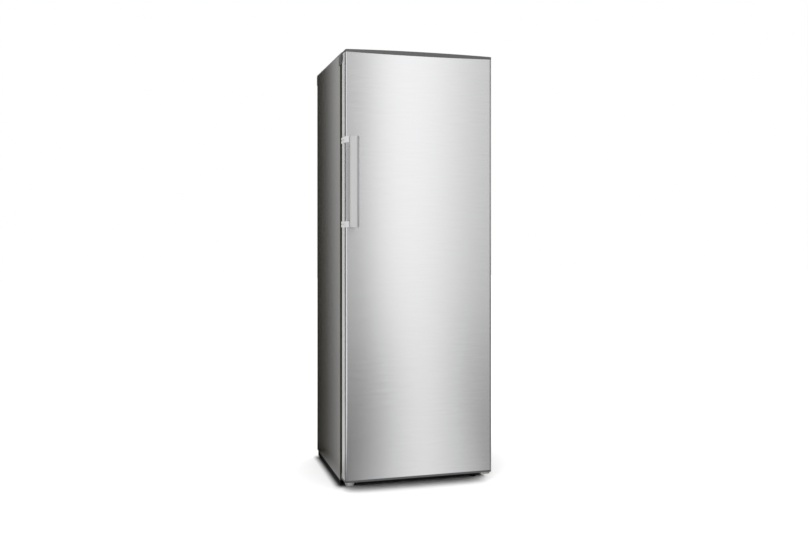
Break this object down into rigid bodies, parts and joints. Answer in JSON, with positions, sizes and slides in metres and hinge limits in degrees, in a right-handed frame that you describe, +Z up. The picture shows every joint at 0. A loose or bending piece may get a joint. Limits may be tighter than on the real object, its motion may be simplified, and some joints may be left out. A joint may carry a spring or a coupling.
{
  "type": "upright fridge",
  "caption": "Free-standing upright fridge with a brushed steel door hinged on the right, bar handle, glass shelves, crispers and a wire condenser.",
  "frame": {"origin": "centre of the whole fridge's footprint, on the floor", "axes": "+X to the right seen from the front, +Y to the back, +Z up"},
  "size_m": [0.604, 0.672, 1.697],
  "materials": {
    "grey_paint": "satin",
    "silver_lacquer": "satin silver",
    "galvanised": "matt zinc coat",
    "black_steel": "satin black",
    "foam": "rigid foam",
    "white_liner": "moulded gloss",
    "dark_plastic": "fine grain",
    "black_plastic": "fine grain",
    "zinc_steel": "zinc plated",
    "grey_plastic": "moulded",
    "black_iron": "gloss black enamel",
    "rubber": "matt",
    "copper": "drawn copper",
    "aluminium": "mill finish",
    "white_plastic": "moulded gloss",
    "clear_plastic": "clear moulded",
    "bulb_glass": "clear",
    "glass": "toughened, polished edge",
    "stainless": "brushed"
  },
  "bodies": {
    "cabinet": {"outer_wrap": "grey_paint", "back_panel": "galvanised", "niche_panel": "galvanised", "base_frame": "black_steel", "foam_insulation": "foam", "inner_liner": "white_liner", "top_cover": "dark_plastic", "plinth": "black_plastic", "top_hinge_bracket": "zinc_steel", "top_hinge_cover": "dark_plastic", "bottom_hinge_bracket": "zinc_steel", "hinge_pins": "zinc_steel", "cabinet_screws": "zinc_steel", "roller_axles": "zinc_steel", "compressor_rail": "black_steel", "compressor": "black_iron", "compressor_mounts": "rubber", "relay_box": "black_plastic", "mains_inlet": "black_plastic", "evaporating_tray": "grey_plastic", "condenser_tube": "black_steel", "condenser_wires": "black_steel", "condenser_clips": "black_plastic", "filter_drier": "copper", "refrigerant_pipes": "copper", "drain_hose": "grey_plastic", "evaporator_plate": "aluminium", "control_housing": "white_plastic", "lamp_lens": "clear_plastic", "lamp_bulb": "bulb_glass", "shelf_1": "glass", "shelf_2": "glass", "shelf_3": "glass", "shelf_4": "glass", "shelf_trims": "white_plastic", "crisper_cover": "glass"},
    "door": {"door_skin": "stainless", "door_foam": "foam", "door_liner": "white_liner", "door_top_cap": "dark_plastic", "door_bottom_cap": "dark_plastic", "door_side_trims": "black_plastic", "door_gasket": "rubber", "door_bin_1": "clear_plastic", "door_bin_2": "clear_plastic", "door_bin_3": "clear_plastic", "bottle_bin": "clear_plastic", "handle_bar": "stainless", "handle_bracket_upper": "silver_lacquer", "handle_bracket_lower": "silver_lacquer", "handle_screws": "zinc_steel", "door_bushes": "white_plastic"},
    "crisper_left_body": {"crisper_left": "clear_plastic"},
    "crisper_right_body": {"crisper_right": "clear_plastic"},
    "knob_body": {"thermostat_knob": "grey_plastic"},
    "switch_body": {"switch_plunger": "white_plastic"},
    "foot_left_body": {"foot_left": "grey_plastic"},
    "foot_right_body": {"foot_right": "black_plastic"},
    "roller_left_body": {"roller_left": "black_plastic"},
    "roller_right_body": {"roller_right": "black_plastic"}
  },
  "joints": [
    {"name": "door_hinge", "type": "hinge", "parent": "cabinet", "child": "door", "pos_m": [0.2795, -0.24, 0.86], "axis": [0, 0, 1], "range_deg": [0, 130]},
    {"name": "crisper_left_slide", "type": "slide", "parent": "cabinet", "child": "crisper_left_body", "axis": [0, -1, 0], "range_m": [0, 0.2]},
    {"name": "crisper_right_slide", "type": "slide", "parent": "cabinet", "child": "crisper_right_body", "axis": [0, -1, 0], "range_m": [0, 0.11]},
    {"name": "thermostat_turn", "type": "hinge", "parent": "cabinet", "child": "knob_body", "pos_m": [0.052, -0.106, 1.585], "axis": [0, 0, 1], "range_deg": [0, 270]},
    {"name": "switch_press", "type": "slide", "parent": "cabinet", "child": "switch_body", "axis": [0, -1, 0], "range_m": [0, 0.008]},
    {"name": "foot_left_turn", "type": "hinge", "parent": "cabinet", "child": "foot_left_body", "pos_m": [-0.256, -0.171, 0.01], "axis": [0, 0, 1], "continuous": true},
    {"name": "foot_right_turn", "type": "hinge", "parent": "cabinet", "child": "foot_right_body", "pos_m": [0.256, -0.171, 0.01], "axis": [0, 0, 1], "continuous": true},
    {"name": "roller_left_spin", "type": "hinge", "parent": "cabinet", "child": "roller_left_body", "pos_m": [-0.279, 0.29, 0.012], "axis": [1, 0, 0], "continuous": true},
    {"name": "roller_right_spin", "type": "hinge", "parent": "cabinet", "child": "roller_right_body", "pos_m": [0.279, 0.29, 0.012], "axis": [1, 0, 0], "continuous": true}
  ],
  "couplings": [
    {"joint": "crisper_left_slide", "follows": "door_hinge", "m_per_rad": 0.088},
    {"joint": "crisper_right_slide", "follows": "door_hinge", "m_per_rad": 0.048},
    {"joint": "switch_press", "follows": "door_hinge", "m_per_rad": 0.0035}
  ]
}
